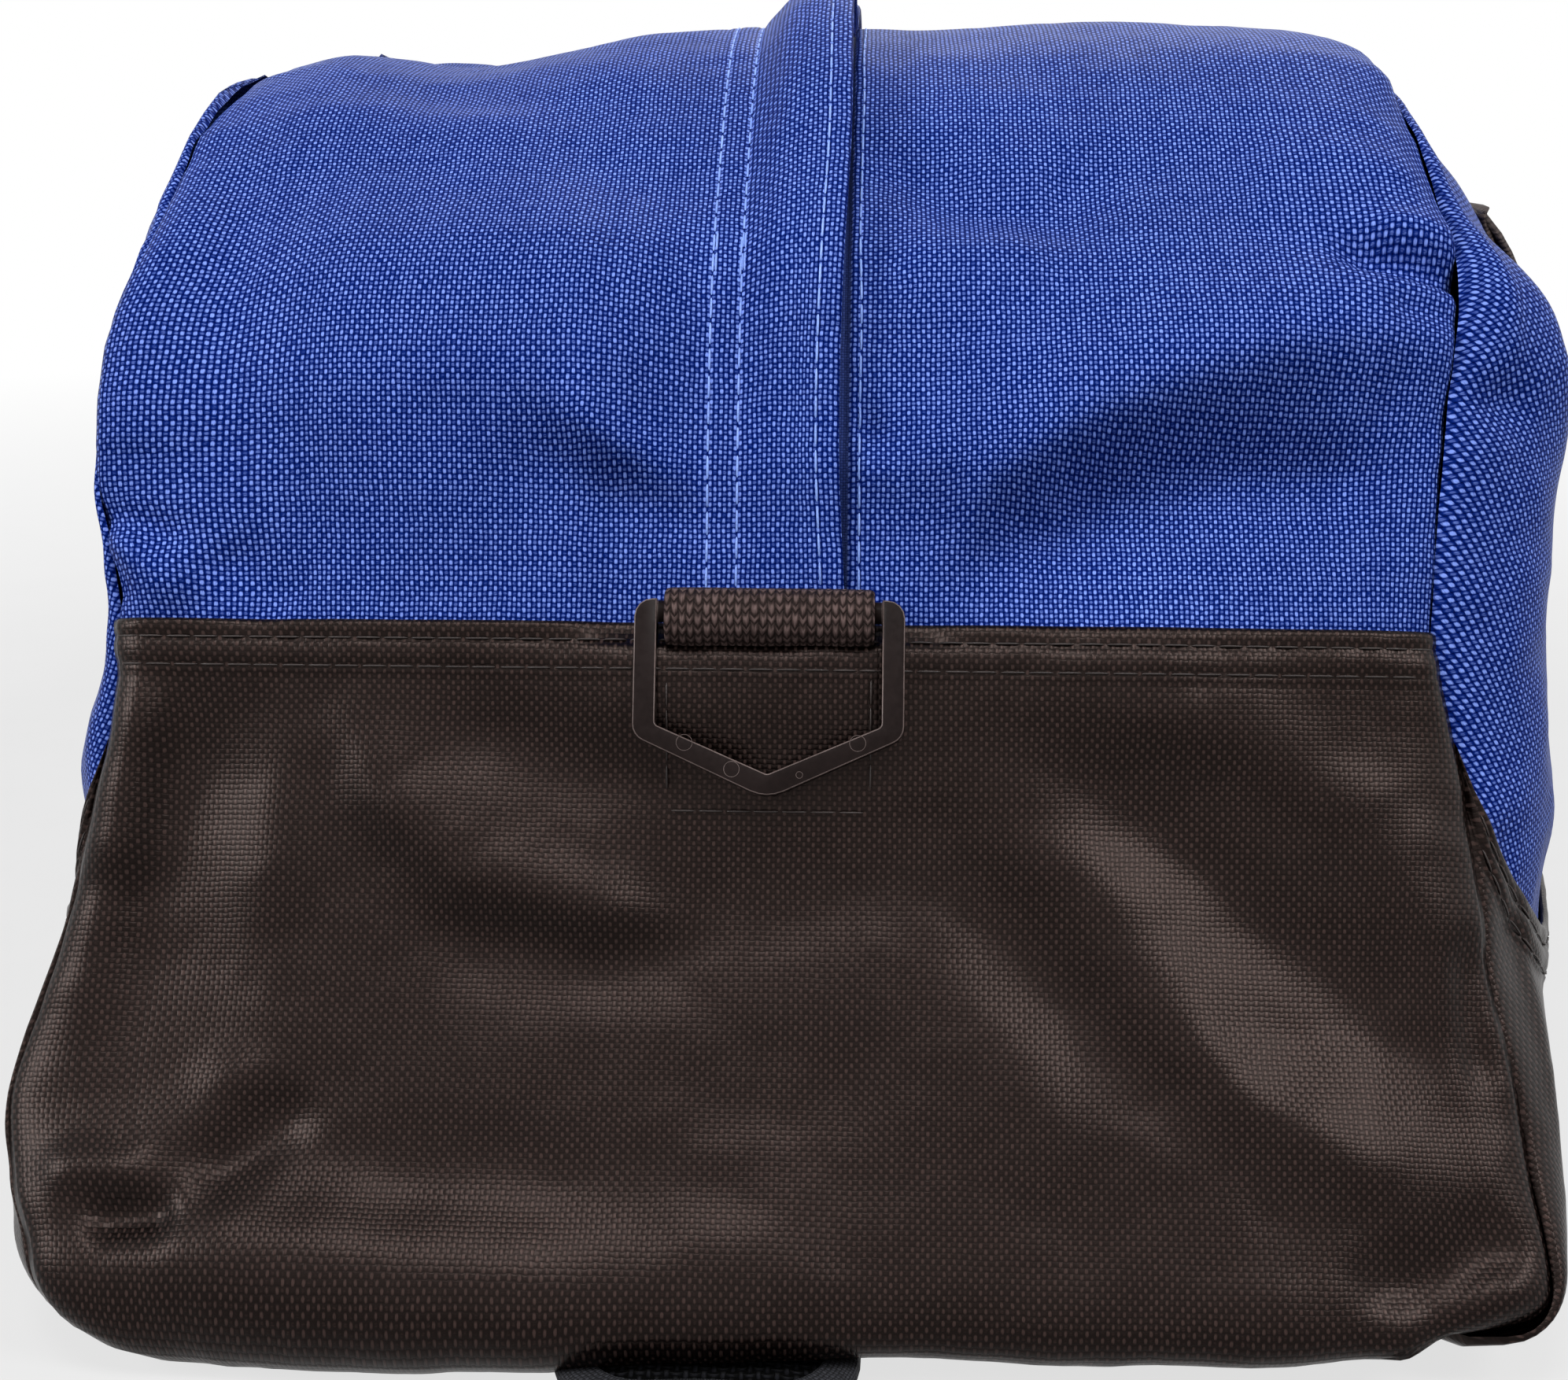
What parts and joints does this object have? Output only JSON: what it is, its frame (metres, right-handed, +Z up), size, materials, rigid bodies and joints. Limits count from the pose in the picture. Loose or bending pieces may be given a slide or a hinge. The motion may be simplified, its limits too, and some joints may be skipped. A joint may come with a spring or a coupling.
{
  "type": "duffel bag",
  "caption": "Soft two-tone duffel bag with a zipped top under a storm flap, side handles, end D-rings and a shoulder strap put away under its base.",
  "frame": {"origin": "on the floor under the middle of the bag, in the middle plane of the end D-rings", "axes": "+Y along the bag towards its far end, -Y towards the end in the picture, +X to the right seen from that end, +Z up"},
  "size_m": [0.3206, 0.5835, 0.2315],
  "materials": {
    "blue_cloth": "coarse plain weave polyester, royal blue",
    "black_cloth": "coarse plain weave polyester, brown black",
    "handle_webbing": "ribbed webbing",
    "tab_webbing": "coarse webbing",
    "strap_webbing": "ribbed webbing",
    "pad_mesh": "air mesh with a bound edge",
    "zip_cloth": "woven zip tape",
    "zip_coil": "nylon coil",
    "zip_metal": "satin",
    "ring_plastic": "fine moulded texture",
    "hook_plastic": "fine moulded texture",
    "gate_steel": "satin",
    "board": "plain sheet"
  },
  "bodies": {
    "bag": {"gusset_left": "blue_cloth", "gusset_right": "blue_cloth", "side_left": "blue_cloth", "side_right": "blue_cloth", "zip_flap": "blue_cloth", "end_base_front": "black_cloth", "end_base_rear": "black_cloth", "side_base_left": "black_cloth", "side_base_right": "black_cloth", "bottom_panel": "black_cloth", "base_board": "board", "zip_tape_left": "zip_cloth", "zip_tape_right": "zip_cloth", "zip_coil": "zip_coil", "ring_tab_front": "tab_webbing", "ring_tab_rear": "tab_webbing", "handle_anchor_left_front": "handle_webbing", "handle_anchor_left_rear": "handle_webbing", "handle_anchor_right_front": "handle_webbing", "handle_anchor_right_rear": "handle_webbing", "strap_pad": "pad_mesh", "strap_lower": "strap_webbing", "strap_upper": "strap_webbing", "hook_eye_a": "hook_plastic", "hook_eye_b": "hook_plastic"},
    "d_ring_front": {"d_ring_front": "ring_plastic"},
    "d_ring_rear": {"d_ring_rear": "ring_plastic"},
    "handle_left": {"handle_left": "handle_webbing"},
    "handle_right": {"handle_right": "handle_webbing"},
    "zip_slider": {"zip_slider": "zip_metal"},
    "zip_pull": {"zip_pull": "zip_metal"},
    "snap_hook_a": {"snap_hook_a": "hook_plastic"},
    "hook_gate_a": {"hook_gate_a": "gate_steel"},
    "snap_hook_b": {"snap_hook_b": "hook_plastic"},
    "hook_gate_b": {"hook_gate_b": "gate_steel"}
  },
  "joints": [
    {"name": "ring_front_swing", "type": "hinge", "parent": "bag", "child": "d_ring_front", "pos_m": [0, -0.18616, 0.12654], "axis": [-1, 0, 0], "range_deg": [0, 150]},
    {"name": "ring_rear_swing", "type": "hinge", "parent": "bag", "child": "d_ring_rear", "pos_m": [0, 0.18616, 0.12654], "axis": [1, 0, 0], "range_deg": [0, 150]},
    {"name": "handle_left_swing", "type": "hinge", "parent": "bag", "child": "handle_left", "pos_m": [-0.13819, 0, 0.173], "axis": [0, 1, 0], "range_deg": [0, 175]},
    {"name": "handle_right_swing", "type": "hinge", "parent": "bag", "child": "handle_right", "pos_m": [0.14588, 0, 0.18962], "axis": [0, -1, 0], "range_deg": [0, 175]},
    {"name": "slider_run", "type": "slide", "parent": "bag", "child": "zip_slider", "axis": [0, 1, 0], "range_m": [-0.034, 0.022]},
    {"name": "pull_swing", "type": "hinge", "parent": "zip_slider", "child": "zip_pull", "pos_m": [0.005, 0, 0.21954], "axis": [0, 0, -1], "range_deg": [0, 85]},
    {"name": "hook_a_swivel", "type": "hinge", "parent": "bag", "child": "snap_hook_a", "pos_m": [-0.03464, 0.26559, 0.0043], "axis": [-0.0785, 0.9969, 0], "continuous": true},
    {"name": "gate_a_open", "type": "hinge", "parent": "snap_hook_a", "child": "hook_gate_a", "pos_m": [-0.02787, 0.28943, 0.0043], "axis": [0, 0, 1], "range_deg": [0, 25], "stiffness_Nm_per_rad": 0.05},
    {"name": "hook_b_swivel", "type": "hinge", "parent": "bag", "child": "snap_hook_b", "pos_m": [0.02898, 0.26521, 0.0043], "axis": [0.0732, 0.9973, 0], "continuous": true},
    {"name": "gate_b_open", "type": "hinge", "parent": "snap_hook_b", "child": "hook_gate_b", "pos_m": [0.03929, 0.28775, 0.0043], "axis": [0, 0, 1], "range_deg": [0, 25], "stiffness_Nm_per_rad": 0.05}
  ]
}
